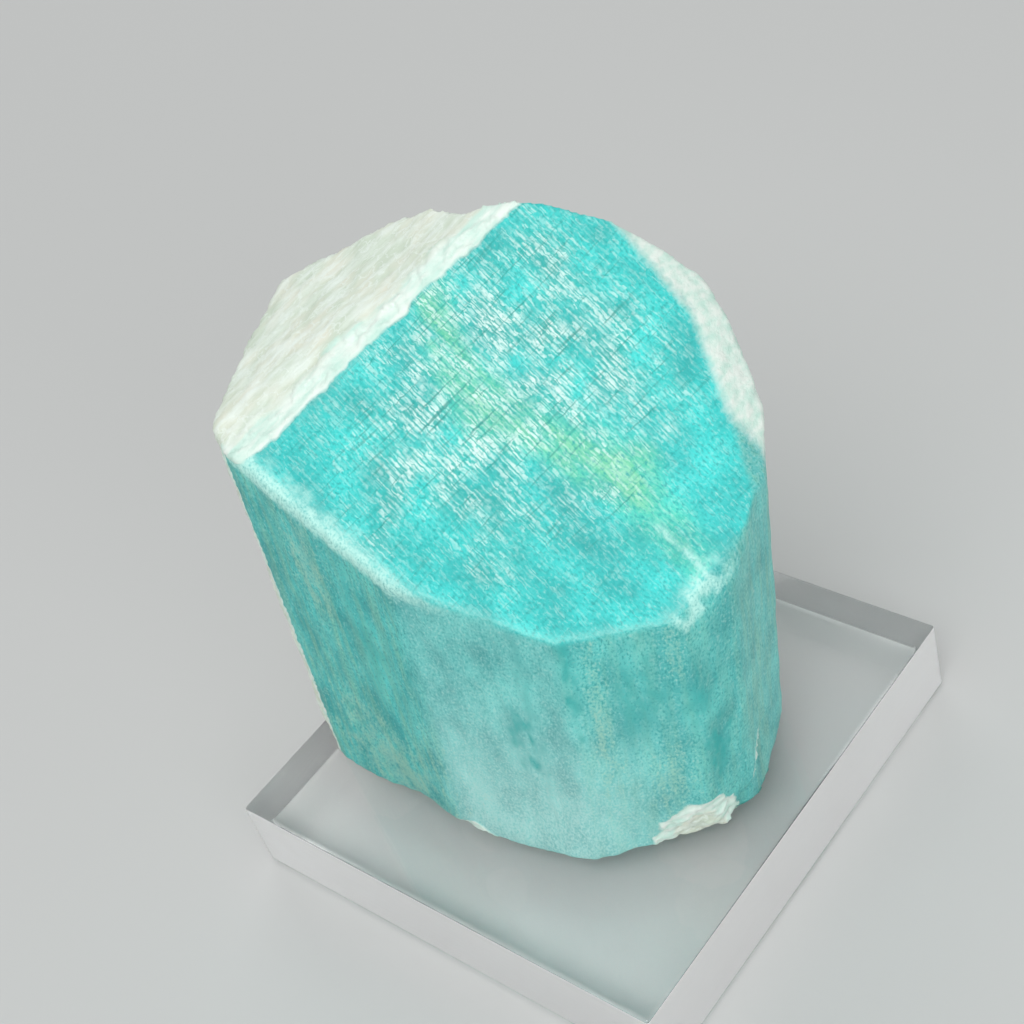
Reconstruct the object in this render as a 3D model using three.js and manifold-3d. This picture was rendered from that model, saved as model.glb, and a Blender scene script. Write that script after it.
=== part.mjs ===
// A rough amazonite crystal standing on a clear acrylic display slab.
// Millimetres, +Z up. The origin is the centre of the slab's underside, with X and Y along its sides.

import * as THREE from "three";
import Module from "manifold-3d";
import { ImprovedNoise } from "three/addons/math/ImprovedNoise.js";
import { mergeVertices } from "three/addons/utils/BufferGeometryUtils.js";

const wasm = await Module();
wasm.setup();
const perlin = new ImprovedNoise();

// The slab, sawn from acrylic sheet, with its sharp edges broken
const SLAB_SIDE = 32;
const SLAB_THICKNESS = 5.5;
const SLAB_CHAMFER = 0.2;

// Outline of the crystal's prism at the slab's top, anticlockwise from its left edge
const PRISM_OUTLINE = [
  [-9.9, 12.2],
  [-10.5, 1.5],
  [-8.3, -7.1],
  [-4.0, -12.5],
  [-0.7, -13.3],
  [3.9, -12.4],
  [6.8, -10.3],
  [8.7, -7.6],
  [10.1, -4.9],
  [9.2, -1.0],
  [7.9, 3.4],
  [5.9, 6.8],
  [6.0, 9.4],
  [5.3, 11.3],
  [2.9, 14.0],
  [0.6, 16.8],
  [-6.9, 14.8],
  [-8.8, 14.0],
];

// The prism leans: how far it runs sideways for each millimetre of height
const PRISM_LEAN = { x: -0.041, y: -0.16 };
const PRISM_HEIGHT = 44;

// The sloping cleavage face at the top: a point on it, the way it faces and how far it tips from level
const TOP_CENTRE = new THREE.Vector3(-2.6, -5.3, 34.1);
const TOP_BEARING = 220.3;
const TOP_TILT = 40.4;
// The cleavage traces run across the top at this angle from straight uphill
const TRACE_ANGLE = 56.5;

// Facets around the top. Bearing is counted from the cleavage traces, reach from the top's centre,
// and dip is how much more steeply the facet falls than the top does. Rough is its unevenness.
const TOP_FACETS = [
  { bearing: 90, reach: 8.6, dip: 13, rough: 0.1 },
  { bearing: 85, reach: 9.7, dip: 38, rough: 0.35 },
  { bearing: -6, reach: 10.7, dip: 42, rough: 0.2 },
  { bearing: -26, reach: 10.4, dip: 44, rough: 0.2 },
  { bearing: -83, reach: 12.3, dip: 40, rough: 0.08 },
  { bearing: 186, reach: 10.0, dip: 24, rough: 0.08 },
];

// Breaks around the foot. Bearing is counted from +X, reach is where the break meets the slab,
// and undercut is how far its surface hangs over from upright.
const FOOT_BREAKS = [
  { bearing: 228, reach: 11.45, undercut: 17, rough: 0.3 },
  { bearing: 294, reach: 12.3, undercut: 14, rough: 0.25 },
  { bearing: 180, reach: 9.8, undercut: 35, rough: 0.35 },
  { bearing: 78, reach: 13.6, undercut: 24, rough: 0.5 },
];

// Unevenness of a break: size of its coarse and fine bumps, and how much longer they are along the break
const BUMP_COARSE = 5.5;
const BUMP_FINE = 1.9;
const FINE_SHARE = 0.45;
const BUMP_STRETCH = 1.8;

// A cutting block is larger than the crystal, with this many cells across its uneven face
const CUTTER_SIZE = 60;
const CUTTER_CELLS = 34;

const SLAB_MATERIAL = new THREE.MeshStandardMaterial({
  name: "clear_acrylic",
  color: 0xe4ebe8,
  roughness: 0.1,
  metalness: 0,
  transparent: true,
  opacity: 0.35,
});
const CRYSTAL_MATERIAL = new THREE.MeshStandardMaterial({
  name: "amazonite",
  color: 0x48b3ac,
  roughness: 0.55,
  metalness: 0,
});

// A closed geometry as a solid that can be cut.
function solidFrom(geometry) {
  const bare = geometry.clone();
  bare.deleteAttribute("normal");
  bare.deleteAttribute("uv");
  const merged = mergeVertices(bare, 1e-4);
  return new wasm.Manifold(
    new wasm.Mesh({
      numProp: 3,
      vertProperties: new Float32Array(merged.attributes.position.array),
      triVerts: new Uint32Array(merged.index.array),
    }),
  );
}

// A cut solid as a geometry that a mesh can show.
function geometryFrom(solid) {
  const { vertProperties, triVerts } = solid.getMesh();
  const geometry = new THREE.BufferGeometry();
  geometry.setAttribute("position", new THREE.BufferAttribute(vertProperties, 3));
  geometry.setIndex(new THREE.BufferAttribute(triVerts, 1));
  geometry.computeVertexNormals();
  return geometry;
}

// A direction lying level, at a bearing in degrees from +X.
function levelDirection(bearing) {
  const angle = THREE.MathUtils.degToRad(bearing);
  return new THREE.Vector3(Math.cos(angle), Math.sin(angle), 0);
}

// The top's own directions: along the cleavage traces, across them, and straight out of it.
function topDirections() {
  const tilt = THREE.MathUtils.degToRad(TOP_TILT);
  const facing = levelDirection(TOP_BEARING);
  const out = facing.clone().multiplyScalar(Math.sin(tilt)).setZ(Math.cos(tilt));
  const uphill = facing.clone().multiplyScalar(-Math.cos(tilt)).setZ(Math.sin(tilt));
  const along = uphill.applyAxisAngle(out, THREE.MathUtils.degToRad(-TRACE_ANGLE));
  const across = new THREE.Vector3().crossVectors(out, along);
  return { along, across, out };
}

// Height of a broken surface at a place on it, from -1 to 1. Seed sets one break apart from another.
function bump(x, y, seed) {
  const coarse = perlin.noise(x / (BUMP_COARSE * BUMP_STRETCH), y / BUMP_COARSE, seed);
  const fine = perlin.noise(x / (BUMP_FINE * BUMP_STRETCH), y / BUMP_FINE, seed);
  return coarse + FINE_SHARE * fine;
}

// A block that takes away all that lies beyond a plane. Its cutting face has bumps of the given height.
function cutter(point, outward, rough, seed) {
  const cells = rough > 0 ? CUTTER_CELLS : 1;
  const block = new THREE.BoxGeometry(CUTTER_SIZE, CUTTER_SIZE, CUTTER_SIZE, cells, cells, 1);
  block.translate(0, 0, CUTTER_SIZE / 2);
  const places = block.attributes.position;
  for (let i = 0; i < places.count; i++) {
    if (places.getZ(i) < CUTTER_SIZE / 2) {
      places.setZ(i, rough * bump(places.getX(i), places.getY(i), seed));
    }
  }
  const level = new THREE.Vector3(0, 0, 1).cross(outward).normalize();
  const upslope = new THREE.Vector3().crossVectors(outward, level);
  const placing = new THREE.Matrix4().makeBasis(level, upslope, outward).setPosition(point);
  return solidFrom(block.applyMatrix4(placing));
}

// The leaning prism, standing on the slab and taller than the finished crystal.
function prism() {
  const outline = new THREE.Shape(PRISM_OUTLINE.map(([x, y]) => new THREE.Vector2(x, y)));
  const geometry = new THREE.ExtrudeGeometry(outline, { depth: PRISM_HEIGHT, bevelEnabled: false });
  const lean = new THREE.Matrix4().makeShear(0, 0, 0, 0, PRISM_LEAN.x, PRISM_LEAN.y);
  geometry.applyMatrix4(lean).translate(0, 0, SLAB_THICKNESS);
  return solidFrom(geometry);
}

// The solids that shape the crystal's top out of the prism: the cleavage face and the facets round it.
function topCutters() {
  const { along, across, out } = topDirections();
  const facets = TOP_FACETS.map(({ bearing, reach, dip, rough }, i) => {
    const turn = THREE.MathUtils.degToRad(bearing);
    const fall = THREE.MathUtils.degToRad(dip);
    const sideways = along.clone().multiplyScalar(Math.cos(turn)).addScaledVector(across, Math.sin(turn));
    const edge = TOP_CENTRE.clone().addScaledVector(sideways, reach);
    const normal = out.clone().multiplyScalar(Math.cos(fall)).addScaledVector(sideways, Math.sin(fall));
    return cutter(edge, normal, rough, i + 0.37);
  });
  return [cutter(TOP_CENTRE, out, 0, 0), ...facets];
}

// The solids that break away the crystal's foot.
function footCutters() {
  return FOOT_BREAKS.map(({ bearing, reach, undercut, rough }, i) => {
    const hang = THREE.MathUtils.degToRad(undercut);
    const sideways = levelDirection(bearing);
    const place = sideways.clone().multiplyScalar(reach).setZ(SLAB_THICKNESS);
    const normal = sideways.clone().multiplyScalar(Math.cos(hang)).setZ(-Math.sin(hang));
    return cutter(place, normal, rough, TOP_FACETS.length + i + 0.37);
  });
}

function crystal() {
  const shaped = [...topCutters(), ...footCutters()].reduce(
    (stone, cut) => stone.subtract(cut),
    prism(),
  );
  const mesh = new THREE.Mesh(geometryFrom(shaped), CRYSTAL_MATERIAL);
  mesh.name = "amazonite_crystal";
  return mesh;
}

function slab() {
  const half = SLAB_SIDE / 2 - SLAB_CHAMFER;
  const face = new THREE.Shape([
    new THREE.Vector2(-half, -half),
    new THREE.Vector2(half, -half),
    new THREE.Vector2(half, half),
    new THREE.Vector2(-half, half),
  ]);
  const geometry = new THREE.ExtrudeGeometry(face, {
    depth: SLAB_THICKNESS - 2 * SLAB_CHAMFER,
    bevelThickness: SLAB_CHAMFER,
    bevelSize: SLAB_CHAMFER,
    bevelSegments: 1,
  });
  const mesh = new THREE.Mesh(geometry, SLAB_MATERIAL);
  mesh.name = "acrylic_slab";
  mesh.position.z = SLAB_CHAMFER;
  return mesh;
}

const specimen = new THREE.Group();
specimen.add(slab(), crystal());

export default specimen;
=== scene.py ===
"""The looks of a rough amazonite crystal that stands on a clear acrylic display slab.

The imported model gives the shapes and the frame, in metres. Sizes here are in millimetres unless a name
says otherwise.
"""

import logging
import math
from collections.abc import Mapping, Sequence
from dataclasses import dataclass, field
from enum import Enum

import bmesh
import bpy
import numpy as np
from mathutils import Matrix, Vector, bvhtree, noise

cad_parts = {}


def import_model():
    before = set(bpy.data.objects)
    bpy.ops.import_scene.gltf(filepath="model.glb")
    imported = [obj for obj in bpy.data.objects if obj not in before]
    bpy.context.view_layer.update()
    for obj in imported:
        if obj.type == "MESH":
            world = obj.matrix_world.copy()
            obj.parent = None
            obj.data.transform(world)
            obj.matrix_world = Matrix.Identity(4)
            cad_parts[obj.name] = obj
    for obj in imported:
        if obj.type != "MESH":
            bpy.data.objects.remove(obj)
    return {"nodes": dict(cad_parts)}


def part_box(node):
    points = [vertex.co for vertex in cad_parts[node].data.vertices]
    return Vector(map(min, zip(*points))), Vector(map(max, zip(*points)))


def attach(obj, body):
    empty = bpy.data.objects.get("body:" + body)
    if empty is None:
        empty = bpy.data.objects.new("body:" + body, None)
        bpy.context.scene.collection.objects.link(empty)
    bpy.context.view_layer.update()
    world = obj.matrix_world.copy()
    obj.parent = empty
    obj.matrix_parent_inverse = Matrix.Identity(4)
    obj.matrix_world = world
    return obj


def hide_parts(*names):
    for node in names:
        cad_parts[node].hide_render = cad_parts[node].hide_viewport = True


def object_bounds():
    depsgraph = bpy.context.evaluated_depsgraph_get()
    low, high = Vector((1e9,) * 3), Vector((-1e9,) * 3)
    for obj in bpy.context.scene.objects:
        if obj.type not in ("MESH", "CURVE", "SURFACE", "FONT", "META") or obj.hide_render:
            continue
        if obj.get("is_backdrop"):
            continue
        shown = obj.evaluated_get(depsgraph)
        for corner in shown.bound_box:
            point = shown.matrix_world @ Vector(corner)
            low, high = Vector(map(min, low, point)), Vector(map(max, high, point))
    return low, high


LOG = logging.getLogger("specimen")
MM = 0.001


def linear(code: str) -> tuple[float, float, float, float]:
    """Turns an sRGB hex colour into linear light.

    Args:
        code: Six hex digits, with or without a leading hash.

    Returns:
        Red, green, blue and an alpha of one.
    """
    digits = code.lstrip("#")
    shares = [int(digits[i : i + 2], 16) / 255 for i in (0, 2, 4)]
    red, green, blue = [
        share / 12.92 if share <= 0.04045 else ((share + 0.055) / 1.055) ** 2.4
        for share in shares
    ]
    return red, green, blue, 1.0


def ramp(values: np.ndarray, low: float, high: float) -> np.ndarray:
    """Eases values from 0 at low to 1 at high, or the other way if low is the larger.

    Args:
        values: What is eased.
        low: Where the result is 0.
        high: Where the result is 1.

    Returns:
        Shares from 0 to 1.
    """
    share = np.clip((values - low) / (high - low), 0.0, 1.0)
    return share * share * (3.0 - 2.0 * share)


def grain(points: np.ndarray, size: Sequence[float], octaves: int, seed: float) -> np.ndarray:
    """Reads fractal noise at points.

    Args:
        points: Places in millimetres, one a row.
        size: Length of a bump along each axis, in millimetres.
        octaves: How many finer layers are added up.
        seed: Sets one field apart from another.

    Returns:
        Values of about -1 to 1.
    """
    places = (points / np.asarray(size) + seed).tolist()
    return np.array([noise.fractal(place, 1.0, 2.0, octaves) for place in places])


class Board:
    """The node board of one material."""

    def __init__(self, name: str) -> None:
        """Starts an empty material.

        Args:
            name: The material's name.
        """
        self.material = bpy.data.materials.new(name)
        self.material.use_nodes = True
        self.tree = self.material.node_tree
        self.tree.nodes.clear()

    def add(
        self,
        kind: str,
        links: Mapping[str | int, object] | None = None,
        out: str | int = 0,
        **settings: object,
    ) -> bpy.types.NodeSocket:
        """Adds a node with its settings and links.

        Sockets go by number where names repeat: Map Range takes a value (0), the range that it is read on
        (1, 2) and the range that it gives (3, 4), Mix takes a share (0) and two numbers (2, 3) or two
        colours (6, 7), and Math takes its numbers in order.

        Args:
            kind: Node type, without the leading ShaderNode.
            links: Input socket, by name or number, to a value or to another node's output.
            out: The output to give back.
            settings: The node's own properties.

        Returns:
            That output of the new node.
        """
        node = self.tree.nodes.new(f"ShaderNode{kind}")
        for name, value in settings.items():
            setattr(node, name, value)
        for name, value in (links or {}).items():
            socket = node.inputs[name]
            if isinstance(value, bpy.types.NodeSocket):
                self.tree.links.new(value, socket)
            else:
                socket.default_value = value
        return node.outputs[out]

    def end(self, shader: bpy.types.NodeSocket) -> bpy.types.Material:
        """Wires the shader to the surface.

        Args:
            shader: The finished shader.

        Returns:
            The finished material.
        """
        output = self.tree.nodes.new("ShaderNodeOutputMaterial")
        self.tree.links.new(shader, output.inputs["Surface"])
        return self.material


class Layer(Enum):
    """What the crystal's mesh carries for its finish to read."""

    LATTICE = "lattice"
    COLUMN = "column"
    PALE = "pale"
    CLEAVAGE = "cleavage"
    PLAID = "plaid"
    GREEN = "green"
    FROST = "frost"
    OLIVE = "olive"
    STAIN = "stain"
    WORN = "worn"


class StoneBoard(Board):
    """A node board that reads the crystal's layers."""

    def __init__(self, name: str) -> None:
        """Starts a material with every layer at hand.

        Args:
            name: The material's name.
        """
        super().__init__(name)
        places = (Layer.LATTICE, Layer.COLUMN)
        self.layer = {
            each: self.add(
                "Attribute",
                out="Vector" if each in places else "Fac",
                attribute_name=each.value,
            )
            for each in Layer
        }

    def bumps(self, source: Layer, size: Sequence[float], detail: float) -> bpy.types.NodeSocket:
        """Draws noise whose bumps have a real size.

        Args:
            source: The layer that gives places.
            size: Length of a bump along each of the layer's axes, in millimetres.
            detail: How many finer layers are added up.

        Returns:
            Noise of 0 to 1.
        """
        per_mm = tuple(1.0 / each for each in size)
        place = self.add("VectorMath", {0: self.layer[source], 1: per_mm}, operation="MULTIPLY")
        return self.add("TexNoise", {"Vector": place, "Scale": 1.0, "Detail": detail})


@dataclass(frozen=True)
class Lattice:
    """The crystal's own directions: its sloping cleavage face and its leaning prism."""

    top_centre: tuple[float, float, float] = (-2.6, -5.3, 34.1)
    top_bearing: float = 220.3
    top_tilt: float = 40.4
    trace_angle: float = 56.5
    lean: tuple[float, float] = (-0.041, -0.16)

    def directions(self) -> np.ndarray:
        """Works out the cleavage face's directions.

        Returns:
            Three rows: along the cleavage traces, across them, and out of the face.
        """
        bearing = math.radians(self.top_bearing)
        tilt = math.radians(self.top_tilt)
        turn = math.radians(self.trace_angle)
        facing = np.array([math.cos(bearing), math.sin(bearing), 0.0])
        upright = np.array([0.0, 0.0, 1.0])
        out = facing * math.sin(tilt) + upright * math.cos(tilt)
        uphill = upright * math.sin(tilt) - facing * math.cos(tilt)
        along = uphill * math.cos(turn) - np.cross(out, uphill) * math.sin(turn)
        return np.array([along, np.cross(out, along), out])

    def on_top(self, points: np.ndarray) -> np.ndarray:
        """Gives points by the cleavage face: along its traces, across them, and above it."""
        return (points - np.array(self.top_centre)) @ self.directions().T

    def in_column(self, points: np.ndarray, foot: float) -> np.ndarray:
        """Slides points down the lean of the prism.

        Args:
            points: Places in millimetres, one a row.
            foot: Height of the crystal's foot.

        Returns:
            Where each column stands at the foot, and the height above it.
        """
        height = points[:, 2] - foot
        return np.stack(
            [points[:, 0] - self.lean[0] * height, points[:, 1] - self.lean[1] * height, height], 1
        )


@dataclass(frozen=True)
class FaceTone:
    """One side of the prism: the way it faces, how frosted it is and how much it leans to olive."""

    bearing: float
    frost: float
    olive: float


@dataclass(frozen=True)
class Stain:
    """A stain on a grown face: its middle in the column, its reach sideways and up, and its strength.

    A strength over zero is deep teal and one under zero is pale olive.
    """

    middle: tuple[float, float, float]
    wide: float
    tall: float
    strength: float


@dataclass(frozen=True)
class Surface:
    """One kind of surface on the stone: its colour, and its height in millimetres."""

    colour: bpy.types.NodeSocket
    height: bpy.types.NodeSocket


@dataclass(frozen=True)
class Amazonite:
    """Amazonite, a green microcline feldspar: cleaved on top, grown on the sides and broken at the rims.

    The cleaved top shows white dashes of albite in a plaid, between fine dark cleavage traces.
    Grown faces are frosted and streaked up the prism. Broken and overgrown rims are chalky white.
    """

    name: str = "amazonite_cleaved_and_grown"
    ior: float = 1.53
    # Sets neighbouring rows of dashes apart
    row_step: float = 5.37
    # Width of a block of dashes, from one dash to the next, and length of the short and long dashes
    block: float = 0.3
    tooth: float = 0.25
    short_dash: float = 0.36
    long_dash: float = 0.8
    # Sizes of what shows on the cleaved top: along its traces, across them and into the stone
    drift_size: tuple[float, float, float] = (2.6, 3.2, 3.0)
    fleck_size: tuple[float, float, float] = (0.15, 0.28, 1.0)
    crumb_size: tuple[float, float, float] = (0.25, 0.5, 1.0)
    patch_size: tuple[float, float, float] = (2.2, 1.5, 2.0)
    trace_size: tuple[float, float, float] = (3.4, 0.18, 3.0)
    # Sizes of what shows on the pale rims, in the same directions
    border_size: tuple[float, float, float] = (0.5, 0.32, 0.32)
    fibre_size: tuple[float, float, float] = (2.2, 0.5, 0.5)
    warm_size: tuple[float, float, float] = (2.4, 1.4, 1.4)
    vein_size: tuple[float, float, float] = (1.1, 0.6, 0.6)
    # Sizes of what shows on the grown sides: round the prism twice, then up it
    speckle_size: tuple[float, float, float] = (0.13, 0.13, 0.22)
    streak_size: tuple[float, float, float] = (0.4, 0.4, 6.0)
    mottle_size: tuple[float, float, float] = (1.8, 1.8, 3.6)
    # Colours of the cleaved top
    top_deep: str = "#08ACAA"
    top_bright: str = "#3AEBE5"
    dash: str = "#E0FDF6"
    gap: str = "#24A898"
    trace: str = "#14938B"
    green: str = "#6FDDA8"
    yellow: str = "#99E9C8"
    worn: str = "#C2F8EE"
    # Colours of the grown sides
    side_deep: str = "#19A6A5"
    side_bright: str = "#54D9D2"
    dark_grain: str = "#0F9798"
    speck: str = "#0BB0AC"
    frost: str = "#C6EFEA"
    olive: str = "#98CDA6"
    pale_olive: str = "#A9D8C3"
    # Colours of the pale rims; the brightest also paints the strip along the seam, partly as painted light
    rim_bright: str = "#EEFAF2"
    rim_dull: str = "#D3E2D0"
    rim_warm: str = "#E6EADA"
    rim_aqua: str = "#CDEFE2"

    def material(self) -> bpy.types.Material:
        """Wires the finish.

        Returns:
            The finished material.
        """
        board = StoneBoard(self.name)
        add, layer = board.add, board.layer
        speckle = board.bumps(Layer.COLUMN, self.speckle_size, 2.0)
        top = self.cleaved_top(board)
        side = self.grown_side(board, speckle)
        rim = self.pale_rim(board)
        cleaved = layer[Layer.CLEAVAGE]
        colour = add("Mix", {0: cleaved, 6: side.colour, 7: top.colour}, 2, data_type="RGBA")
        height = add("Mix", {0: cleaved, 2: side.height, 3: top.height})

        # Rubbed edges are pale between the grains
        rubbed = add("MapRange", {0: speckle, 1: 0.25, 2: 0.6, 3: 0.35, 4: 1.0})
        rubbed = add("Math", {0: rubbed, 1: layer[Layer.WORN]}, operation="MULTIPLY")
        colour = add("Mix", {0: rubbed, 6: colour, 7: linear(self.worn)}, 2, data_type="RGBA")

        # The pale zones begin along a crumbling line
        crumbs = board.bumps(Layer.LATTICE, self.border_size, 4.0)
        border = add("Math", {0: crumbs, 1: 0.25, 2: layer[Layer.PALE]}, operation="MULTIPLY_ADD")
        pale = add("MapRange", {0: border, 1: 0.0, 2: 0.3})
        colour = add("Mix", {0: pale, 6: colour, 7: rim.colour}, 2, data_type="RGBA")
        rim_height = add("Math", {0: crumbs, 1: 0.05, 2: rim.height}, operation="MULTIPLY_ADD")
        height = add("Mix", {0: pale, 2: height, 3: rim_height})

        bump = add("Bump", {"Strength": 1.0, "Distance": MM, "Height": height})
        rough = add("Math", {0: speckle, 1: 0.3, 2: 0.42}, operation="MULTIPLY_ADD")
        shader = add(
            "BsdfPrincipled",
            {"Base Color": colour, "Roughness": rough, "IOR": self.ior, "Normal": bump},
        )
        return board.end(shader)

    def rows(
        self,
        board: StoneBoard,
        place: bpy.types.NodeSocket,
        thick: bpy.types.NodeSocket,
        length: float,
    ) -> bpy.types.NodeSocket:
        """Draws rows of dashes that cross the cleavage traces side by side, like the teeth of a comb.

        Args:
            board: The material's node board.
            place: Places by the cleavage face.
            thick: How thick the dashes lie.
            length: Length of a dash, across the traces, in millimetres.

        Returns:
            How white each place is, from 0 to 1.
        """
        per_mm = (1.0 / (self.block * self.row_step), 1.0 / length, 0.0)
        scaled = board.add("VectorMath", {0: place, 1: per_mm}, operation="MULTIPLY")
        # The noise stays the same from end to end of a row, so that each dash keeps its width
        in_row = board.add("VectorMath", {0: scaled, 1: (0.001, 1.0, 1.0)}, operation="SNAP")
        blocks = board.add(
            "TexNoise",
            {"Vector": in_row, "Scale": self.row_step, "Detail": 1.0},
            noise_dimensions="2D",
        )
        # That noise also shifts the teeth, so that neighbouring rows don't line up
        shift = {0: blocks.node.outputs["Color"], 1: (0.0, 12.0, 0.0)}
        shift = board.add("VectorMath", shift, "Value", operation="DOT_PRODUCT")
        along = board.add("SeparateXYZ", {0: place}, "X")
        teeth = {0: along, 1: math.tau / self.tooth, 2: shift}
        teeth = board.add("Math", teeth, operation="MULTIPLY_ADD")
        teeth = board.add("Math", {0: teeth}, operation="SINE")
        tooth = board.add("MapRange", {0: teeth, 1: -0.5, 2: 0.7, 3: 0.1})
        block = board.add("Math", {0: thick, 1: 0.31, 2: blocks}, operation="MULTIPLY_ADD")
        block = board.add("MapRange", {0: block, 1: 0.52, 2: 0.84})
        return board.add("Math", {0: block, 1: tooth}, operation="MULTIPLY")

    def cleaved_top(self, board: StoneBoard) -> Surface:
        """Draws the cleaved top: teal that drifts to green, with a white plaid and dark traces.

        Args:
            board: The material's node board.

        Returns:
            The top's colour and height.
        """
        add, layer = board.add, board.layer
        drift = board.bumps(Layer.LATTICE, self.drift_size, 3.0)
        share = add("MapRange", {0: drift, 1: 0.28, 2: 0.72})
        teal = {0: share, 6: linear(self.top_deep), 7: linear(self.top_bright)}
        colour = add("Mix", teal, 2, data_type="RGBA")
        green = layer[Layer.GREEN]
        colour = add("Mix", {0: green, 6: colour, 7: linear(self.green)}, 2, data_type="RGBA")
        share = add("MapRange", {0: green, 1: 0.7, 2: 1.6})
        colour = add("Mix", {0: share, 6: colour, 7: linear(self.yellow)}, 2, data_type="RGBA")

        # Flecks too small to tell apart give the stone a grain
        flecks = board.bumps(Layer.LATTICE, self.fleck_size, 3.0)
        share = add("MapRange", {0: flecks, 1: 0.5, 2: 0.3, 4: 0.9})
        colour = add("Mix", {0: share, 6: colour, 7: linear(self.top_deep)}, 2, data_type="RGBA")
        share = add("MapRange", {0: flecks, 1: 0.56, 2: 0.76, 4: 0.32})
        colour = add("Mix", {0: share, 6: colour, 7: linear(self.dash)}, 2, data_type="RGBA")

        # Dashes of albite lie in rows that bend and crumble.
        # They are drawn wider than real ones so as to show.
        bend = {0: drift.node.outputs["Color"], 1: (0.0, 0.7, 0.0), 2: layer[Layer.LATTICE]}
        bent = add("VectorMath", bend, operation="MULTIPLY_ADD")
        crumbs = board.bumps(Layer.LATTICE, self.crumb_size, 2.0)
        crumble = {0: crumbs.node.outputs["Color"], 1: (0.16, 0.6, 0.0), 2: bent}
        bent = add("VectorMath", crumble, operation="MULTIPLY_ADD")
        patches = board.bumps(Layer.LATTICE, self.patch_size, 3.0)
        lots = add("MapRange", {0: patches, 1: 0.28, 2: 0.62})
        thick = add("Math", {0: lots, 1: layer[Layer.PLAID]}, operation="MULTIPLY")
        short = self.rows(board, bent, thick, self.short_dash)
        long = self.rows(board, bent, thick, self.long_dash)
        dark = add("MapRange", {0: short, 1: 0.45, 2: 0.0, 4: 0.5})
        dark = add("Math", {0: dark, 1: thick}, operation="MULTIPLY")
        colour = add("Mix", {0: dark, 6: colour, 7: linear(self.gap)}, 2, data_type="RGBA")
        marks = add("Math", {0: short, 1: long}, operation="MAXIMUM")
        strength = add("Math", {0: thick, 1: 0.7, 2: 0.3}, operation="MULTIPLY_ADD")
        dashes = add("Math", {0: marks, 1: strength}, operation="MULTIPLY")
        whole = add("MapRange", {0: flecks, 1: 0.32, 2: 0.5, 3: 0.4})
        dashes = add("Math", {0: dashes, 1: whole}, operation="MULTIPLY")
        colour = add("Mix", {0: dashes, 6: colour, 7: linear(self.dash)}, 2, data_type="RGBA")

        # Cleavage traces are long fine cracks, darker than the stone about them
        traces = board.bumps(Layer.LATTICE, self.trace_size, 2.0)
        traces = add("MapRange", {0: traces, 1: 0.42, 2: 0.3, 4: 0.75})
        cracked = add("MapRange", {0: thick, 1: 0.0, 2: 0.6, 3: 0.35})
        traces = add("Math", {0: traces, 1: cracked}, operation="MULTIPLY")
        colour = add("Mix", {0: traces, 6: colour, 7: linear(self.trace)}, 2, data_type="RGBA")
        height = add("Math", {0: dashes, 1: 0.01, 2: 0.0}, operation="MULTIPLY_ADD")
        height = add("Math", {0: traces, 1: -0.012, 2: height}, operation="MULTIPLY_ADD")
        return Surface(colour, height)

    def grown_side(self, board: StoneBoard, speckle: bpy.types.NodeSocket) -> Surface:
        """Draws the grown sides: mottled teal with olive streaks, frosted grains and a few stains.

        Args:
            board: The material's node board.
            speckle: Fine grains.

        Returns:
            The sides' colour and height.
        """
        add, layer = board.add, board.layer
        streak = board.bumps(Layer.COLUMN, self.streak_size, 4.0)
        mottle = board.bumps(Layer.COLUMN, self.mottle_size, 4.0)
        share = add("MapRange", {0: mottle, 1: 0.3, 2: 0.7})
        teal = {0: share, 6: linear(self.side_deep), 7: linear(self.side_bright)}
        colour = add("Mix", teal, 2, data_type="RGBA")
        share = add("MapRange", {0: streak, 1: 0.42, 2: 0.75})
        share = add("Math", {0: share, 1: layer[Layer.OLIVE]}, operation="MULTIPLY")
        colour = add("Mix", {0: share, 6: colour, 7: linear(self.olive)}, 2, data_type="RGBA")
        share = add("Math", {0: mottle, 1: 0.4, 2: speckle}, operation="MULTIPLY_ADD")
        share = add("MapRange", {0: share, 1: 0.45, 2: 1.0, 3: 0.3, 4: 0.9})
        share = add("Math", {0: share, 1: layer[Layer.FROST]}, operation="MULTIPLY")
        colour = add("Mix", {0: share, 6: colour, 7: linear(self.frost)}, 2, data_type="RGBA")
        share = add("MapRange", {0: speckle, 1: 0.56, 2: 0.74, 4: 0.4})
        colour = add("Mix", {0: share, 6: colour, 7: linear(self.frost)}, 2, data_type="RGBA")
        share = add("MapRange", {0: speckle, 1: 0.48, 2: 0.28, 4: 0.8})
        bare = add("MapRange", {0: layer[Layer.FROST], 1: 0.8, 2: 0.1})
        share = add("Math", {0: share, 1: bare}, operation="MULTIPLY")
        colour = add("Mix", {0: share, 6: colour, 7: linear(self.dark_grain)}, 2, data_type="RGBA")

        # Stains thin out between the grains
        uneven = add("Math", {0: streak, 1: 0.5}, operation="MULTIPLY")
        uneven = add("Math", {0: speckle, 1: 1.5, 2: uneven}, operation="MULTIPLY_ADD")
        for tone, sign in ((self.speck, 1.0), (self.pale_olive, -1.0)):
            share = {0: layer[Layer.STAIN], 1: sign, 2: uneven}
            share = add("Math", share, operation="MULTIPLY_ADD")
            share = add("MapRange", {0: share, 1: 1.2, 2: 2.1, 4: 0.8})
            colour = add("Mix", {0: share, 6: colour, 7: linear(tone)}, 2, data_type="RGBA")
        height = add("Math", {0: speckle, 1: 0.03, 2: 0.0}, operation="MULTIPLY_ADD")
        height = add("Math", {0: streak, 1: 0.05, 2: height}, operation="MULTIPLY_ADD")
        return Surface(colour, height)

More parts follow.
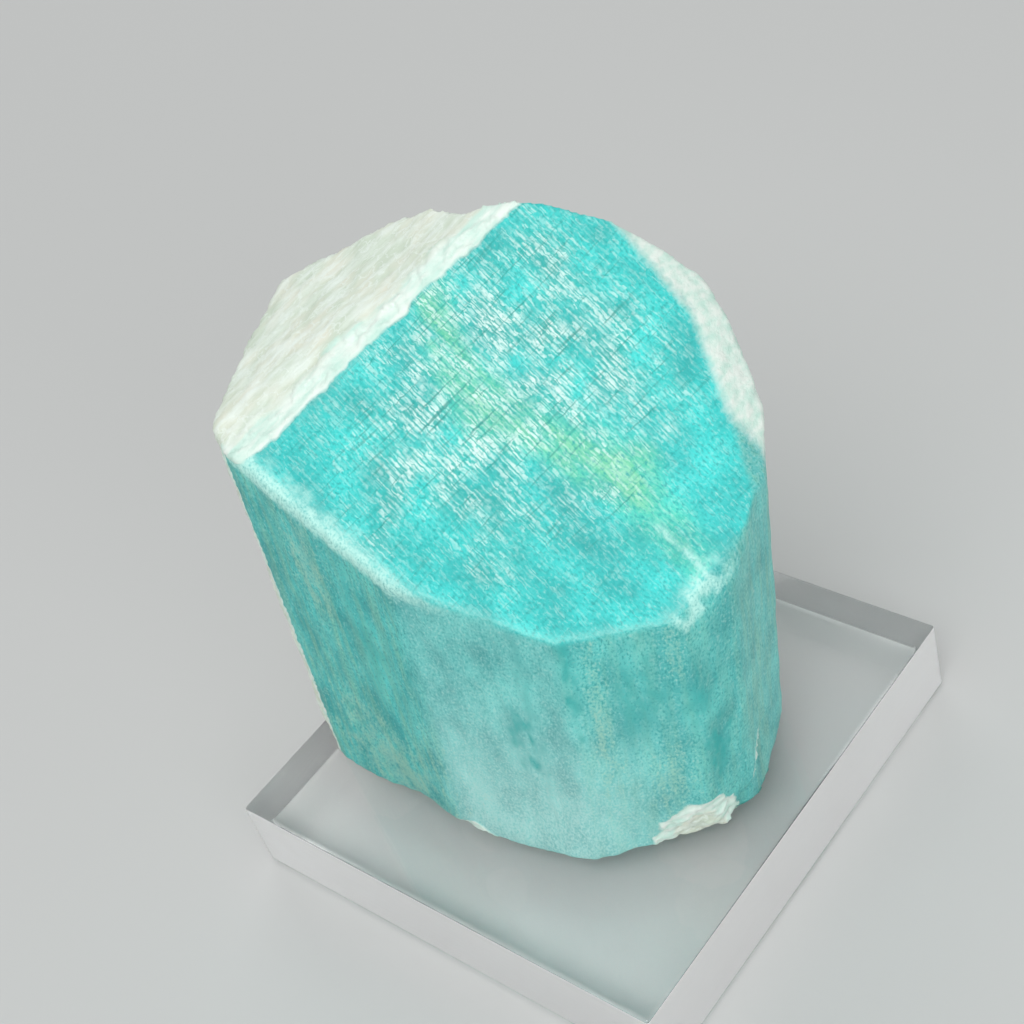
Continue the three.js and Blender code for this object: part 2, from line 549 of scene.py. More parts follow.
    def pale_rim(self, board: StoneBoard) -> Surface:
        """Draws the pale rims: chalky and fibrous, with bright veins, whitest along the seam, where part of
        the white is painted light on the strip that faces the key light.

        Args:
            board: The material's node board.

        Returns:
            The rims' colour and height.
        """
        add, layer = board.add, board.layer
        fibre = board.bumps(Layer.LATTICE, self.fibre_size, 5.0)
        warm = board.bumps(Layer.LATTICE, self.warm_size, 2.0)
        share = add("MapRange", {0: warm, 1: 0.42, 2: 0.68})
        chalk = {0: share, 6: linear(self.rim_dull), 7: linear(self.rim_warm)}
        colour = add("Mix", chalk, 2, data_type="RGBA")
        share = add("MapRange", {0: fibre, 1: 0.42, 2: 0.74})
        colour = add("Mix", {0: share, 6: colour, 7: linear(self.rim_bright)}, 2, data_type="RGBA")
        vein = board.bumps(Layer.LATTICE, self.vein_size, 3.0)
        vein = add("Math", {0: vein, 1: 0.5}, operation="SUBTRACT")
        vein = add("Math", {0: vein}, operation="ABSOLUTE")
        vein = add("MapRange", {0: vein, 1: 0.03, 2: 0.0, 4: 0.7})
        colour = add("Mix", {0: vein, 6: colour, 7: linear(self.rim_bright)}, 2, data_type="RGBA")

        # Along the seam it is white, with an aqua tint in places: partly a whiter band of stone and partly
        # painted light, as the strip there faces the key light while the ledge beyond faces up
        share = add("MapRange", {0: fibre, 1: 0.62, 2: 0.34})
        seam_white_and_painted_light = {0: share, 6: linear(self.rim_bright), 7: linear(self.rim_aqua)}
        seam_white_and_painted_light = add("Mix", seam_white_and_painted_light, 2, data_type="RGBA")
        reach = add("Math", {0: warm, 1: 2.0, 2: layer[Layer.PALE]}, operation="MULTIPLY_ADD")
        reach = add("Math", {0: fibre, 1: 2.0, 2: reach}, operation="MULTIPLY_ADD")
        share = add("MapRange", {0: reach, 1: 4.8, 2: 4.0})
        colour = add("Mix", {0: share, 6: colour, 7: seam_white_and_painted_light}, 2, data_type="RGBA")
        height = add("Math", {0: fibre, 1: 0.07, 2: 0.0}, operation="MULTIPLY_ADD")
        height = add("Math", {0: vein, 1: 0.01, 2: height}, operation="MULTIPLY_ADD")
        return Surface(colour, height)


@dataclass(frozen=True)
class Acrylic:
    """Cast acrylic sheet: clear, with polished faces and sawn edges.

    Polished faces show what lies behind them with a sharp sheen. Sawn edges scatter light and look frosted.
    """

    name: str
    roughness: float
    ior: float = 1.49
    tint: str = "#FFFFFF"
    clear: float = 1.0
    # Size of the rubbed patches, and spacing and depth of the saw marks
    rub_size: float = 2.5
    saw_pitch: float = 0.35
    saw_depth: float = 0.0

    def material(self) -> bpy.types.Material:
        """Wires the finish.

        Returns:
            The finished material.
        """
        board = Board(self.name)
        add = board.add
        place = add("TexCoord", out="Object")
        wear = {"Vector": place, "Scale": 1.0 / (self.rub_size * MM), "Detail": 5.0}
        wear = add("TexNoise", wear)
        rough = add(
            "MapRange",
            {
                "Value": wear,
                "From Min": 0.3,
                "From Max": 0.75,
                "To Min": self.roughness * 0.7,
                "To Max": self.roughness * 1.4,
            },
        )
        links = {
            "Base Color": linear(self.tint),
            "Roughness": rough,
            "IOR": self.ior,
            "Transmission Weight": self.clear,
        }
        if self.saw_depth > 0.0:
            # Saw marks run along the edge
            lines = add("VectorMath", {0: place, 1: (0.15, 0.15, 1.0)}, operation="MULTIPLY")
            saw = add("TexNoise", {"Vector": lines, "Scale": 1.0 / (self.saw_pitch * MM), "Detail": 3.0})
            links["Normal"] = add(
                "Bump", {"Strength": 0.6, "Distance": self.saw_depth * MM, "Height": saw}
            )
        return board.end(add("BsdfPrincipled", links))


@dataclass(frozen=True)
class MattCard:
    """Matt studio card: one pale tone with no gloss."""

    name: str = "matt_studio_card"
    tone: str = "#CDCFCE"

    def material(self) -> bpy.types.Material:
        """Wires the finish."""
        board = Board(self.name)
        return board.end(
            board.add("BsdfPrincipled", {"Base Color": linear(self.tone), "Roughness": 0.9})
        )


@dataclass
class Crystal:
    """The amazonite crystal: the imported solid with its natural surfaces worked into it."""

    node: bpy.types.Object
    foot: float
    lattice: Lattice = field(default_factory=Lattice)
    finish: Amazonite = field(default_factory=Amazonite)
    voxel: float = 0.14
    most_triangles: int = 190_000
    foot_gap: float = 0.03
    # How far edges are rounded, and how deep the nicks in them are
    round_edge: float = 0.3
    keen_edge: float = 0.12
    nick_depth: float = 0.2
    # Heights of cleavage steps, of growth lines, of broken stone, of growth steps behind, and of crumbs
    cleft_height: float = 0.05
    grown_height: float = 0.06
    broken_height: float = 0.06
    terrace_height: float = 0.2
    crumb_height: float = 0.16
    # The pale overgrowth behind lies beyond this line of the prism's outline
    seam_direction: tuple[float, float] = (0.3656, 0.931)
    seam_reach: float = 6.62
    # Facets of the top's rim: bearing from the traces, and reach from the top's centre
    pale_facets: tuple[tuple[float, float], ...] = ((-6.0, 10.7), (-26.0, 10.4))
    worn_facets: tuple[tuple[float, float], ...] = ((186.0, 10.0), (-83.0, 12.3))
    pale_depth: float = 4.0
    # Chalky breaks at the foot: where they are in the column, and how far they reach sideways and up
    chips: tuple[tuple[float, float, float, float, float], ...] = (
        (-4.1, -11.7, 0.2, 2.8, 3.9),
        (-9.9, 0.9, 0.0, 1.6, 1.5),
    )
    chip_depth: float = 0.2
    # How far the foot swells or draws in, by bearing about the column
    foot_swell: tuple[tuple[float, float], ...] = (
        (140.0, 0.0),
        (150.0, -0.35),
        (156.0, -0.3),
        (164.0, 0.1),
        (188.0, 0.3),
        (203.0, 0.5),
        (217.0, 0.55),
        (233.0, 0.0),
        (257.0, 0.0),
        (263.0, -0.25),
        (269.0, 0.25),
        (282.0, 0.0),
    )
    # A flake gone from the foot: bearings, heights of its border and of the pale crack there
    flake: tuple[tuple[float, float, float], ...] = (
        (-101.0, 1.2, -0.8),
        (-96.0, 2.1, -0.6),
        (-92.5, 3.0, 0.2),
        (-90.0, 4.6, 0.35),
        (-88.0, 6.0, 0.2),
        (-82.0, 6.8, -0.8),
        (-74.0, 4.4, -0.8),
    )
    flake_depth: float = 0.22
    # The line of the green band on the top: places across the traces and along them, and its strength
    green_band: tuple[tuple[float, float, float], ...] = (
        (-12.0, 1.6, 0.35),
        (-8.0, 1.9, 0.45),
        (-5.6, 2.3, 1.3),
        (-3.9, 1.6, 1.0),
        (-2.0, 1.2, 0.8),
        (1.5, -0.3, 0.7),
        (4.5, -0.3, 0.8),
        (7.0, 1.0, 1.0),
        (8.6, 1.6, 0.6),
    )
    # The sides of the prism, anticlockwise from the left
    tones: tuple[FaceTone, ...] = (
        FaceTone(177.0, 0.05, 0.5),
        FaceTone(194.0, 0.4, 0.0),
        FaceTone(219.0, 0.2, 0.25),
        FaceTone(256.0, 0.18, 0.25),
        FaceTone(281.0, 0.36, 0.5),
        FaceTone(310.0, 0.4, 0.5),
        FaceTone(340.0, 0.4, 0.5),
        FaceTone(20.0, 0.4, 0.45),
    )
    # Deep teal stains, then pale olive ones
    stains: tuple[Stain, ...] = (
        Stain((-8.0, -7.5, 19.0), 0.5, 5.0, 0.9),
        Stain((-8.9, -4.9, 15.0), 0.5, 6.0, 0.5),
        Stain((-9.1, -3.9, 11.6), 0.6, 2.4, 0.75),
        Stain((-6.0, -10.0, 14.0), 1.7, 5.0, 0.7),
        Stain((-4.3, -12.2, 14.4), 1.1, 2.2, 0.55),
        Stain((-2.9, -12.8, 8.2), 0.8, 2.0, 0.9),
        Stain((-3.3, -12.7, 12.5), 1.3, 4.0, 0.35),
        Stain((-10.1, 5.0, 15.0), 1.2, 7.0, 0.6),
        Stain((-7.2, -8.5, 14.0), 0.7, 6.0, -0.8),
        Stain((-5.3, -10.9, 8.4), 1.6, 4.0, -0.6),
        Stain((-4.6, -11.8, 17.5), 0.6, 4.0, -0.6),
        Stain((-10.2, 8.5, 22.5), 1.2, 4.0, -0.7),
        Stain((-10.0, 6.5, 4.0), 4.0, 6.0, -0.8),
    )

    def build(self) -> bpy.types.Object:
        """Makes the crystal's mesh.

        Returns:
            The crystal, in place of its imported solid.
        """
        mesh = self.fine_mesh()
        points = self.read(mesh.vertices, "co") / MM
        edges = self.read(mesh.edges, "vertices", 2, np.int32)
        flat = self.facet_normals(points)
        top = self.lattice.on_top(points)
        column = self.lattice.in_column(points, self.foot)
        overgrown = self.overgrowth(top, column)
        pale = self.pale_reach(top, column, overgrown)
        chalky = ramp(pale, -0.1, 0.4)
        cleaved = ramp(flat @ self.lattice.directions()[2], 0.985, 0.998)
        points = self.rounded(points, edges, np.maximum(cleaved, chalky))
        worn_off = points - self.smoothed(points, edges, self.round_edge)
        sharp = ramp(np.linalg.norm(worn_off, axis=1), 0.02, 0.1)
        relief = self.relief(top, column, flat, overgrown, chalky, cleaved)
        nicks = np.maximum(0.0, grain(column, (1.4, 1.4, 1.4), 3, 9.1))
        points = points + flat * (relief - self.nick_depth * nicks * sharp)[:, None]
        points = points + self.swelling(column)
        low = column[:, 2] < 2.0 * self.voxel
        points[low, 2] = np.maximum(points[low, 2], self.foot + self.foot_gap)
        mesh.vertices.foreach_set("co", (points * MM).ravel())
        layers = {
            Layer.LATTICE: top,
            Layer.COLUMN: column,
            Layer.PALE: pale,
            Layer.CLEAVAGE: self.smoothed(cleaved[:, None], edges, 0.15)[:, 0],
            Layer.PLAID: self.plaid(top),
            Layer.GREEN: self.green(top),
            Layer.STAIN: self.stained(column),
            Layer.WORN: self.worn(top, pale, cleaved, edges),
        }
        for layer, values in layers.items():
            self.carry(mesh, layer, values)
        self.carry_tones(mesh, flat, column, edges)
        crystal = bpy.data.objects.new("crystal", mesh)
        bpy.context.scene.collection.objects.link(crystal)
        crystal.data = self.thinned(crystal)
        crystal.data.shade_smooth()
        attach(crystal, "root")
        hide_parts("amazonite_crystal")
        return crystal

    def dress(self, crystal: bpy.types.Object) -> None:
        """Gives the crystal its finish."""
        crystal.data.materials.clear()
        crystal.data.materials.append(self.finish.material())

    def fine_mesh(self) -> bpy.types.Mesh:
        """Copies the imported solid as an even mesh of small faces.

        Returns:
            The new mesh.
        """
        copy = bpy.data.objects.new("crystal_solid", self.node.data.copy())
        bpy.context.scene.collection.objects.link(copy)
        shape = bmesh.new()
        shape.from_mesh(copy.data)
        bmesh.ops.remove_doubles(shape, verts=shape.verts, dist=1e-7)
        shape.to_mesh(copy.data)
        shape.free()
        remesh = copy.modifiers.new("even", "REMESH")
        remesh.mode = "VOXEL"
        remesh.voxel_size = self.voxel * MM
        evaluated = copy.evaluated_get(bpy.context.evaluated_depsgraph_get())
        mesh = bpy.data.meshes.new_from_object(evaluated)
        mesh.name = "crystal"
        bpy.data.objects.remove(copy)
        return mesh

    def thinned(self, crystal: bpy.types.Object) -> bpy.types.Mesh:
        """Merges the smallest faces where the crystal is flat.

        Args:
            crystal: The crystal with its fine mesh.

        Returns:
            A mesh with no more triangles than wanted.
        """
        crystal.data.calc_loop_triangles()
        thin = crystal.modifiers.new("thin", "DECIMATE")
        thin.ratio = min(1.0, self.most_triangles / len(crystal.data.loop_triangles))
        evaluated = crystal.evaluated_get(bpy.context.evaluated_depsgraph_get())
        mesh = bpy.data.meshes.new_from_object(evaluated)
        crystal.modifiers.remove(thin)
        mesh.name = "crystal"
        return mesh

    @staticmethod
    def read(
        items: bpy.types.bpy_prop_collection, name: str, width: int = 3, kind: type = np.float32
    ) -> np.ndarray:
        """Reads a property of many mesh elements.

        Args:
            items: The elements.
            name: The property.
            width: How many numbers it has.
            kind: Their type in the mesh.

        Returns:
            One row an element.
        """
        values = np.zeros(len(items) * width, kind)
        items.foreach_get(name, values)
        return values.reshape(-1, width).astype(float if kind is np.float32 else int)

    @staticmethod
    def carry(mesh: bpy.types.Mesh, layer: Layer, values: np.ndarray) -> None:
        """Stores a layer on the mesh's vertices.

        Args:
            mesh: The crystal's mesh.
            layer: What is stored.
            values: A number or a vector for each vertex.
        """
        kind, slot = ("FLOAT", "value") if values.ndim == 1 else ("FLOAT_VECTOR", "vector")
        made = mesh.attributes.new(layer.value, kind, "POINT")
        made.data.foreach_set(slot, values.astype(np.float32).ravel())

    def smoothed(self, values: np.ndarray, edges: np.ndarray, spread: float) -> np.ndarray:
        """Evens values out between neighbouring vertices.

        Args:
            values: One row a vertex.
            edges: Pairs of vertices.
            spread: How far a value spreads, in millimetres.

        Returns:
            The evened values.
        """
        count = np.bincount(edges.ravel(), minlength=len(values))[:, None]
        for _ in range(round((2.0 * spread / self.voxel) ** 2)):
            total = np.zeros_like(values)
            for i in range(values.shape[1]):
                total[:, i] = np.bincount(edges[:, 0], values[edges[:, 1], i], len(values))
                total[:, i] += np.bincount(edges[:, 1], values[edges[:, 0], i], len(values))
            values = 0.5 * values + 0.5 * total / count
        return values

    def facet_normals(self, points: np.ndarray) -> np.ndarray:
        """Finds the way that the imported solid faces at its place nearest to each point."""
        tree = bvhtree.BVHTree.FromObject(self.node, bpy.context.evaluated_depsgraph_get())
        return np.array([tree.find_nearest(Vector(place))[1] for place in points * MM])

    def rounded(self, points: np.ndarray, edges: np.ndarray, keen: np.ndarray) -> np.ndarray:
        """Rounds the crystal's edges, less so where a surface is keen.

        Args:
            points: The vertices.
            edges: Pairs of vertices.
            keen: Share that keeps its edge.

        Returns:
            The rounded vertices.
        """
        round_edges = self.smoothed(points, edges, self.round_edge)
        keen_edges = self.smoothed(points, edges, self.keen_edge)
        keep = self.smoothed(keen[:, None], edges, 0.27)
        return round_edges + (keen_edges - round_edges) * keep

    def overgrowth(self, top: np.ndarray, column: np.ndarray) -> np.ndarray:
        """How far each place lies inside the pale overgrowth behind the crystal.

        Args:
            top: Places by the cleavage face.
            column: Places in the column.

        Returns:
            Millimetres, less than zero outside it.
        """
        reach = column[:, :2] @ np.array(self.seam_direction) - self.seam_reach
        reach = reach - 2.2 * ramp(column[:, 0], -9.2, -9.8) * ramp(top[:, 2], 0.0, -1.0)
        reach = reach + 0.22 * grain(top, (1.3, 1.3, 1.3), 3, 5.5)
        # Below the top the seam wanders, and teal shows through low down
        free = self.loose(top, column)
        wander = 1.6 * grain(column, (5.0, 5.0, 8.0), 3, 3.7)
        bare = 7.0 * ramp(grain(column, (4.0, 4.0, 6.0), 4, 6.1), 0.05, 0.5) * ramp(column[:, 2], 22.0, 6.0)
        return reach + free * (wander - bare)

    @staticmethod
    def loose(top: np.ndarray, column: np.ndarray) -> np.ndarray:
        """How free the overgrowth's border is to wander: not on the top, fully low on the sides."""
        return ramp(top[:, 2], -2.0, -9.0) * ramp(column[:, 0], -7.0, -2.0)

    def pale_reach(self, top: np.ndarray, column: np.ndarray, overgrown: np.ndarray) -> np.ndarray:
        """How far each place lies inside a pale zone, from a crisp border to a soft one.

        Args:
            top: Places by the cleavage face.
            column: Places in the column.
            overgrown: Reach inside the overgrowth.

        Returns:
            About 2 for each millimetre at the seam and less at a soft border, under zero outside.
        """
        reach = overgrown * (2.0 - 1.6 * self.loose(top, column))
        depth = top[:, 2] + self.pale_depth + 2.0 * grain(column, (2.5, 2.5, 5.0), 3, 1.9)
        fade = 1.2 * ramp(top[:, 1], -6.5, -10.5)
        for beyond in self.beyond(top, self.pale_facets):
            reach = np.maximum(reach, 0.5 * (np.minimum(beyond, depth) - fade))
        reach = np.maximum(reach, 2.0 * self.chipped(column))
        under, width = self.under_flake(column)
        return np.maximum(reach, width - np.abs(under))

    def chipped(self, column: np.ndarray) -> np.ndarray:
        """How far each place lies inside a chip at the foot.

        Args:
            column: Places in the column.

        Returns:
            Millimetres, less than zero outside the chips.
        """
        reach = np.full(len(column), -9.0)
        for x, y, height, wide, tall in self.chips:
            off = (column - (x, y, height)) / (wide, wide, tall)
            ragged = 0.12 * grain(column, (1.0, 1.0, 1.0), 3, x)
            reach = np.maximum(reach, wide * (1.0 - np.linalg.norm(off, axis=1) + ragged))
        return reach

    def stained(self, column: np.ndarray) -> np.ndarray:
        """How strongly each place is stained.

        Args:
            column: Places in the column.

        Returns:
            Strengths, over zero for teal and under zero for pale olive.
        """
        total = np.zeros(len(column))
        uneven = 1.3 * grain(column, (0.4, 0.4, 1.0), 4, 1.1)
        for stain in self.stains:
            off = (column - stain.middle) / (stain.wide, stain.wide, stain.tall)
            total += stain.strength * ramp(np.linalg.norm(off, axis=1) + uneven, 1.6, 0.0)
        return total

    def swelling(self, column: np.ndarray) -> np.ndarray:
        """How far each place moves sideways where the foot swells or draws in.

        Args:
            column: Places in the column.

        Returns:
            One move a row, in millimetres.
        """
        bearing = np.arctan2(column[:, 1], column[:, 0])
        bearings, swells = zip(*self.foot_swell)
        far = np.interp(np.degrees(bearing) % 360.0, bearings, swells, left=0.0, right=0.0)
        far = far * ramp(column[:, 2], 5.0, 0.3)
        return np.stack([far * np.cos(bearing), far * np.sin(bearing), np.zeros(len(far))], 1)

    @staticmethod
    def beyond(top: np.ndarray, facets: tuple[tuple[float, float], ...]) -> list[np.ndarray]:
        """How far each place lies beyond the upper border of each facet.

        Args:
            top: Places by the cleavage face.
            facets: Bearing and reach of each facet.

        Returns:
            Millimetres for each place, one array a facet.
        """
        turns = [math.radians(bearing) for bearing, _ in facets]
        return [
            top[:, 0] * math.cos(turn) + top[:, 1] * math.sin(turn) - far
            for turn, (_, far) in zip(turns, facets)
        ]

    def under_flake(self, column: np.ndarray) -> tuple[np.ndarray, np.ndarray]:
        """How far each place lies below the flake's upper border.

        Args:
            column: Places in the column.

        Returns:
            That depth in millimetres, and the height of the pale crack there.
        """
        bearing = np.degrees(np.arctan2(column[:, 1], column[:, 0]))
        bearings, heights, cracks = zip(*self.flake)
        border = np.interp(bearing, bearings, heights, left=-9.0, right=-9.0)
        ragged = 0.25 * grain(column, (0.9, 0.9, 0.9), 2, 2.7)
        return border - column[:, 2] + ragged, np.interp(bearing, bearings, cracks)

    def plaid(self, top: np.ndarray) -> np.ndarray:
        """How thick the white dashes lie: thickest about the middle of the top, thin at its borders."""
        spread = np.hypot((top[:, 0] - 1.2) / 10.5, (top[:, 1] - 2.0) / 8.6)
        return ramp(spread + 0.3 * grain(top, (4.0, 4.0, 4.0), 2, 3.1), 1.3, 0.3)

    def green(self, top: np.ndarray) -> np.ndarray:
        """Where a green band crosses the traces, in streaks, at its yellowest towards the front.

        Args:
            top: Places by the cleavage face.

        Returns:
            Strengths, over 1 where it is yellow.
        """
        across, along, strengths = zip(*self.green_band)
        middle = np.interp(top[:, 1], across, along)
        strength = np.interp(top[:, 1], across, strengths, left=0.0, right=0.0)
        off = np.abs(top[:, 0] - middle) + 0.8 * grain(top, (2.0, 5.0, 3.0), 2, 7.7)
        streaks = 0.75 + 0.7 * grain(top, (0.5, 2.4, 3.0), 3, 4.4)
        return streaks * strength * ramp(off, 2.4, 0.0)

    def worn(self, top: np.ndarray, pale: np.ndarray, cleaved: np.ndarray, edges: np.ndarray) -> np.ndarray:
        """Where the top's rim is rubbed pale.

        Args:
            top: Places by the cleavage face.
            pale: Reach inside the pale zones.
            cleaved: Share of the cleavage face.
            edges: Pairs of vertices.

        Returns:
            Shares from 0 to 1.
        """
        inner = self.smoothed(cleaved[:, None], edges, 0.5)[:, 0]
        front = ramp(top[:, 0], 4.0, 1.0)
        rim = 0.3 * cleaved * ramp(inner, 0.98, 0.6) * ramp(pale, -0.6, -1.4) * front
        left, corner = self.beyond(top, self.worn_facets)
        above = ramp(top[:, 2], -0.9, -0.6)
        frayed = left + 0.5 * grain(top, (0.5, 1.0, 0.9), 3, 6.3)
        rim = np.maximum(rim, ramp(frayed, -1.0, 0.2) * above * ramp(top[:, 1], -6.5, 0.0))
        patchy = ramp(grain(top, (0.6, 1.6, 0.9), 3, 5.2), -0.35, 0.25)
        near = ramp(top[:, 0], -2.5, -0.5) * front * above
        rim = np.maximum(rim, patchy * near * ramp(corner, -0.9, -0.2))
        # A pale streak runs from the green band to that corner
        streak = ramp(np.abs(top[:, 0] - 1.7) + 0.2 * grain(top, (0.3, 1.2, 1.0), 2, 8.8), 0.28, 0.02)
        return np.maximum(rim, 0.95 * streak * ramp(top[:, 1], -7.8, -9.8) * above)

    def carry_tones(
        self, mesh: bpy.types.Mesh, flat: np.ndarray, column: np.ndarray, edges: np.ndarray
    ) -> None:
        """Stores each side's tones on the mesh, run together at its edges and paler at the foot.

        Args:
            mesh: The crystal's mesh.
            flat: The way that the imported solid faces.
            column: Places in the column.
            edges: Pairs of vertices.
        """
        bearings = np.radians([tone.bearing for tone in self.tones])
        facing = np.stack([np.cos(bearings), np.sin(bearings)])
        nearest = np.argmax(flat[:, :2] @ facing, axis=1)
        frost = np.array([tone.frost for tone in self.tones])[nearest]
        olive = np.array([tone.olive for tone in self.tones])[nearest]
        milky = ramp(column[:, 1], 4.0, 0.0) * ramp(column[:, 1], -13.5, -7.0)
        frost = frost + 0.7 * ramp(column[:, 2], 20.0, 1.0) * milky
        even = self.smoothed(np.stack([frost, olive], 1), edges, 0.4)
        self.carry(mesh, Layer.FROST, even[:, 0])
        self.carry(mesh, Layer.OLIVE, even[:, 1])

    def relief(
        self,
        top: np.ndarray,
        column: np.ndarray,
        flat: np.ndarray,
        overgrown: np.ndarray,
        chalky: np.ndarray,
        cleaved: np.ndarray,
    ) -> np.ndarray:
        """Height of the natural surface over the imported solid.

        Args:
            top: Places by the cleavage face.
            column: Places in the column.
            flat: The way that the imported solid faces.
            overgrown: Reach inside the overgrowth.
            chalky: Share of a pale zone.
            cleaved: Share of the cleavage face.

        Returns:
            Millimetres outwards.
        """
        steps = np.round(2.5 * grain(top, (9.0, 1.1, 3.0), 2, 1.3)) / 2.5
        cleft = self.cleft_height * (steps + 0.4 * grain(top, (0.8, 0.8, 0.8), 2, 5.9))
        lines = grain(column, (0.9, 0.9, 9.0), 3, 2.2)
        grown = self.grown_height * (lines + grain(column, (1.5, 1.5, 2.6), 3, 8.4))
        # Broken faces are uneven all over, and growth steps run up the overgrowth behind
        behind = ramp(overgrown, 0.5, 3.0) * ramp(flat[:, 2], 0.5, 0.2)
        terrace = np.round(2.0 * grain(column, (2.4, 2.4, 16.0), 2, 3.3)) / 2.0
        terrace = terrace + 0.75 * grain(column, (1.2, 1.2, 3.0), 4, 7.2)
        rugged = grain(top, (3.0, 1.6, 1.6), 4, 4.5) + grain(top, (0.9, 0.6, 0.6), 3, 6.6)
        broken = 0.1 + self.broken_height * rugged + self.terrace_height * behind * terrace
        height = cleft * cleaved + grown * (1.0 - cleaved)
        height = height * (1.0 - chalky) + broken * chalky
        # Crumbs stand up along the seam
        seam = ramp(overgrown, 0.0, 0.3) * ramp(overgrown, 1.8, 0.9) * ramp(flat[:, 2], 0.3, 0.6)
        crumbs = ramp(grain(top, (0.9, 0.6, 0.6), 3, 2.9), 0.0, 0.35)
        height = height + self.crumb_height * seam * crumbs
        bearing = np.degrees(np.arctan2(column[:, 1], column[:, 0]))
        gone = ramp(self.under_flake(column)[0], -0.05, 0.3) * ramp(bearing, -74.0, -86.0)
        chip = ramp(self.chipped(column), 0.0, 0.3)
        uneven = 1.0 + grain(top, (1.4, 0.6, 0.6), 4, 3.6)
        return height - self.flake_depth * gone - self.chip_depth * chip * uneven


@dataclass
class Slab:
    """The acrylic slab: a sawn square with its arrises eased."""

    low: Vector
    high: Vector
    arris: float = 0.25
    polished: Acrylic = field(default_factory=lambda: Acrylic("clear_acrylic_polished", 0.02))
    sawn: Acrylic = field(
        default_factory=lambda: Acrylic("clear_acrylic_sawn", 0.5, clear=0.35, saw_depth=0.05)
    )

    def build(self) -> bpy.types.Object:
        """Makes the slab's mesh.

        Returns:
            The slab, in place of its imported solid.
        """
        shape = bmesh.new()
        bmesh.ops.create_cube(shape, size=1.0)
        size = self.high - self.low
        bmesh.ops.scale(shape, vec=size, verts=shape.verts)
        bmesh.ops.translate(shape, vec=(self.low + self.high) / 2, verts=shape.verts)
        bmesh.ops.bevel(
            shape,
            geom=shape.edges[:],
            offset=self.arris * MM,
            segments=3,
            profile=0.6,
            affect="EDGES",
        )
        # The narrow faces of the arrises are shaded as round ones
        narrow = 1.5 * size.x * self.arris * MM
        for face in shape.faces:
            face.material_index = 1 if abs(face.normal.z) < 0.3 else 0
            face.smooth = face.calc_area() < narrow
        mesh = bpy.data.meshes.new("slab")
        shape.to_mesh(mesh)
        shape.free()
        slab = bpy.data.objects.new("slab", mesh)
        bpy.context.scene.collection.objects.link(slab)
        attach(slab, "root")
        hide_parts("acrylic_slab")
        return slab

    def dress(self, slab: bpy.types.Object) -> None:
        """Gives the faces their polish and the edges their saw marks."""
        slab.data.materials.append(self.polished.material())
        slab.data.materials.append(self.sawn.material())


@dataclass(frozen=True)
class SoftLight:
    """A square soft light: the way it lies from the crystal, how far, how wide and how bright."""

    name: str
    direction: tuple[float, float, float]
    distance: float
    width: float
    watts: float

    def build(self, aim: Vector) -> None:
        """Hangs the light.

        Args:
            aim: The place that it is turned to.
        """
        data = bpy.data.lights.new(self.name, "AREA")
        data.size = self.width * MM
        data.energy = self.watts
        lamp = bpy.data.objects.new(self.name, data)
        bpy.context.scene.collection.objects.link(lamp)
        way = Vector(self.direction).normalized()
        lamp.location = aim + way * self.distance * MM
        lamp.rotation_mode = "QUATERNION"
        lamp.rotation_quaternion = way.to_track_quat("Z", "Y")


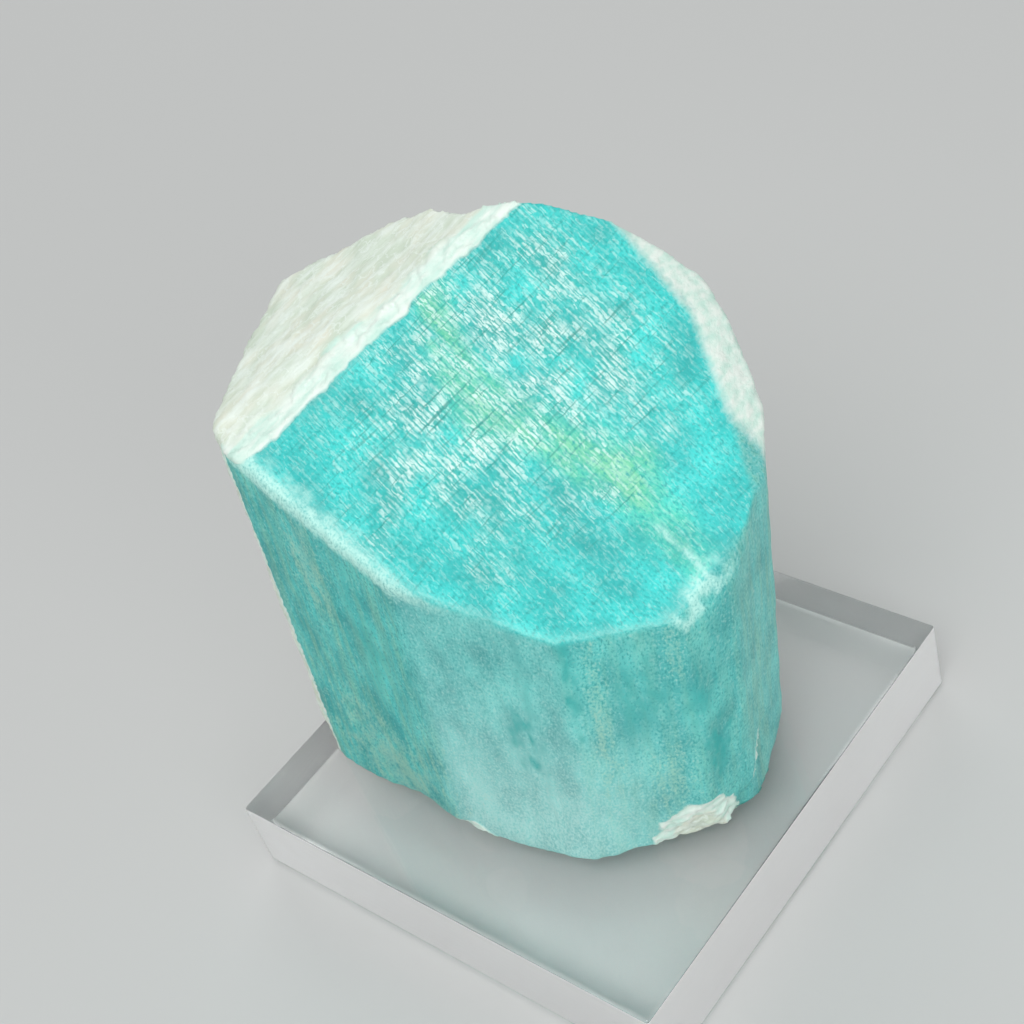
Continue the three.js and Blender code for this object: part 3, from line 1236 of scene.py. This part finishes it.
@dataclass
class Studio:
    """A pale floor, soft light and the camera."""

    aim: Vector
    camera_place: tuple[float, float, float] = (-51.5, -62.4, 95.3)
    camera_bearing: float = 39.45
    camera_pitch: float = 41.44
    camera_roll: float = -18.95
    lens: float = 66.8
    sky: float = 0.45
    floor_width: float = 20_000.0
    card: MattCard = field(default_factory=MattCard)
    lights: tuple[SoftLight, ...] = (
        SoftLight("key", (-0.5, -0.3, 0.85), 420.0, 260.0, 0.85),
        SoftLight("fill", (-0.4, -0.9, 0.35), 500.0, 300.0, 0.53),
        SoftLight("back", (0.75, 0.8, 0.55), 480.0, 300.0, 0.45),
    )

    def build(self) -> None:
        """Sets the stage up."""
        self.lay_floor()
        self.light()
        self.place_camera()

    def lay_floor(self) -> None:
        """Lays the floor under the slab."""
        half = self.floor_width * MM / 2
        mesh = bpy.data.meshes.new("floor")
        corners = [(-half, -half, 0), (half, -half, 0), (half, half, 0), (-half, half, 0)]
        mesh.from_pydata(corners, [], [(0, 1, 2, 3)])
        floor = bpy.data.objects.new("floor", mesh)
        bpy.context.scene.collection.objects.link(floor)
        floor.location.z = -0.05 * MM
        mesh.materials.append(self.card.material())
        floor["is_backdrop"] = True

    def light(self) -> None:
        """Hangs the soft lights and the even sky."""
        for each in self.lights:
            each.build(self.aim)
        world = bpy.data.worlds.new("sky")
        world.use_nodes = True
        background = world.node_tree.nodes["Background"]
        background.inputs["Strength"].default_value = self.sky
        background.inputs["Color"].default_value = (1.0, 1.0, 1.0, 1.0)
        bpy.context.scene.world = world
        bpy.context.scene.view_settings.view_transform = "Standard"
        # Keeps clear acrylic clear for the light that falls on the floor under it
        bpy.context.scene.cycles.blur_glossy = 0.0

    def place_camera(self) -> None:
        """Stands the camera where the photograph was taken from."""
        data = bpy.data.cameras.new("camera")
        data.lens = self.lens
        data.clip_start = MM
        camera = bpy.data.objects.new("camera", data)
        bpy.context.scene.collection.objects.link(camera)
        bearing, pitch = math.radians(self.camera_bearing), math.radians(self.camera_pitch)
        look = Vector(
            (math.sin(bearing) * math.cos(pitch), math.cos(bearing) * math.cos(pitch), -math.sin(pitch))
        )
        level = look.cross(Vector((0.0, 0.0, 1.0))).normalized()
        upright = level.cross(look)
        roll = math.radians(self.camera_roll)
        right = level * math.cos(roll) + upright * math.sin(roll)
        up = right.cross(look)
        turn = Matrix((right, up, -look)).transposed()
        camera.matrix_world = Matrix.Translation(Vector(self.camera_place) * MM) @ turn.to_4x4()
        bpy.context.scene.camera = camera


def write_sizes(packed: tuple[Vector, Vector]) -> None:
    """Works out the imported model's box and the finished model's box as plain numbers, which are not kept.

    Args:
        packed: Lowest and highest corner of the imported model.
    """
    boxes = {"cad": packed, "visual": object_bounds()}
    plain = {name: [[float(x) for x in corner] for corner in box] for name, box in boxes.items()}


def main() -> None:
    """Builds the specimen and its stage."""
    logging.basicConfig(level=logging.INFO, format="%(name)s: %(message)s")
    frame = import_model()
    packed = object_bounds()
    low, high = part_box("acrylic_slab")
    slab = Slab(low, high)
    made = slab.build()
    slab.dress(made)
    LOG.info("slab: %d faces", len(made.data.polygons))
    crystal = Crystal(frame["nodes"]["amazonite_crystal"], high.z / MM)
    made = crystal.build()
    crystal.dress(made)
    LOG.info("crystal: %d faces", len(made.data.polygons))
    Studio(aim=(packed[0] + packed[1]) / 2).build()
    write_sizes(packed)


if __name__ == "__main__":
    main()
